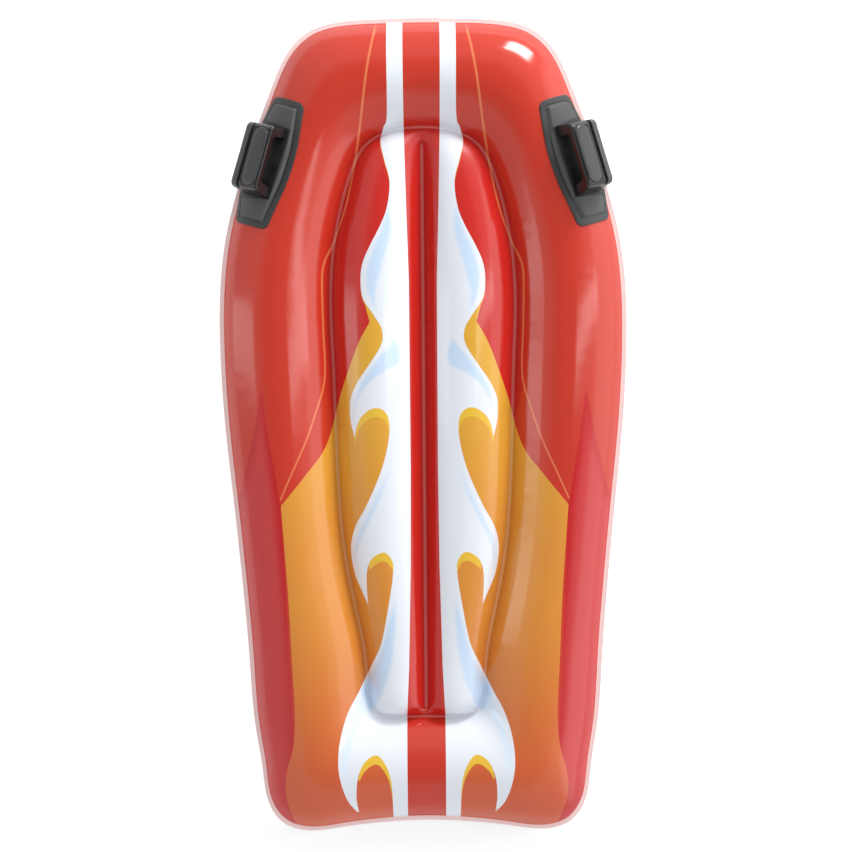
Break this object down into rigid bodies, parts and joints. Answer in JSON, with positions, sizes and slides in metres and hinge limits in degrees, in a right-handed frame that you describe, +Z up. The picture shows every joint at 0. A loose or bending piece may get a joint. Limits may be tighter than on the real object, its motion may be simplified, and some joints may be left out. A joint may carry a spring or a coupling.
{
  "type": "bodyboard",
  "caption": "Inflatable bodyboard: a ring tube round a lobed middle chamber, side handles on welded plates and flush inflation valves underneath.",
  "frame": {"origin": "on the ground under the middle of the board", "axes": "+Y towards the nose, along the board; +Z up through the deck; +X to the rider's right"},
  "size_m": [0.5088, 1.0142, 0.1028],
  "materials": {
    "deck_vinyl": "glossy printed vinyl film",
    "hull_vinyl": "glossy white vinyl film",
    "handle_plate": "fine grained moulded vinyl",
    "handle_grip": "glossy moulded plastic",
    "grip_insert": "satin soft-touch",
    "valve_vinyl": "translucent soft vinyl"
  },
  "bodies": {
    "board": {"deck_sheet": "deck_vinyl", "hull_sheet": "hull_vinyl", "handle_base_right": "handle_plate", "handle_base_left": "handle_plate", "handle_grip_right": "handle_grip", "handle_grip_left": "handle_grip", "grip_insert_right": "grip_insert", "grip_insert_left": "grip_insert", "ring_valve_flange": "valve_vinyl", "ring_valve_web": "valve_vinyl", "centre_valve_flange": "valve_vinyl", "centre_valve_web": "valve_vinyl"},
    "ring_stem": {"ring_valve_stem": "valve_vinyl", "ring_valve_tether": "valve_vinyl"},
    "ring_stopper": {"ring_valve_stopper": "valve_vinyl"},
    "ring_flap": {"ring_valve_flap": "valve_vinyl"},
    "centre_stem": {"centre_valve_stem": "valve_vinyl", "centre_valve_tether": "valve_vinyl"},
    "centre_stopper": {"centre_valve_stopper": "valve_vinyl"},
    "centre_flap": {"centre_valve_flap": "valve_vinyl"}
  },
  "joints": [
    {"name": "ring_stem_pull", "type": "slide", "parent": "board", "child": "ring_stem", "axis": [-0.0233, 0.5202, -0.8537], "range_m": [0, 0.012]},
    {"name": "ring_stopper_pull", "type": "slide", "parent": "ring_stem", "child": "ring_stopper", "axis": [-0.0233, 0.5202, -0.8537], "range_m": [0, 0.01]},
    {"name": "ring_flap_swing", "type": "hinge", "parent": "ring_stem", "child": "ring_flap", "pos_m": [0.03132, -0.39641, 0.02994], "axis": [-0.9825, -0.1696, -0.0765], "range_deg": [0, 60]},
    {"name": "centre_stem_pull", "type": "slide", "parent": "board", "child": "centre_stem", "axis": [0.0015, -0.0594, -0.9982], "range_m": [0, 0.012]},
    {"name": "centre_stopper_pull", "type": "slide", "parent": "centre_stem", "child": "centre_stopper", "axis": [0.0015, -0.0594, -0.9982], "range_m": [0, 0.01]},
    {"name": "centre_flap_swing", "type": "hinge", "parent": "centre_stem", "child": "centre_flap", "pos_m": [-0.03527, -0.26398, 0.03234], "axis": [-0.0249, 0.9979, -0.0595], "range_deg": [0, 60]}
  ]
}
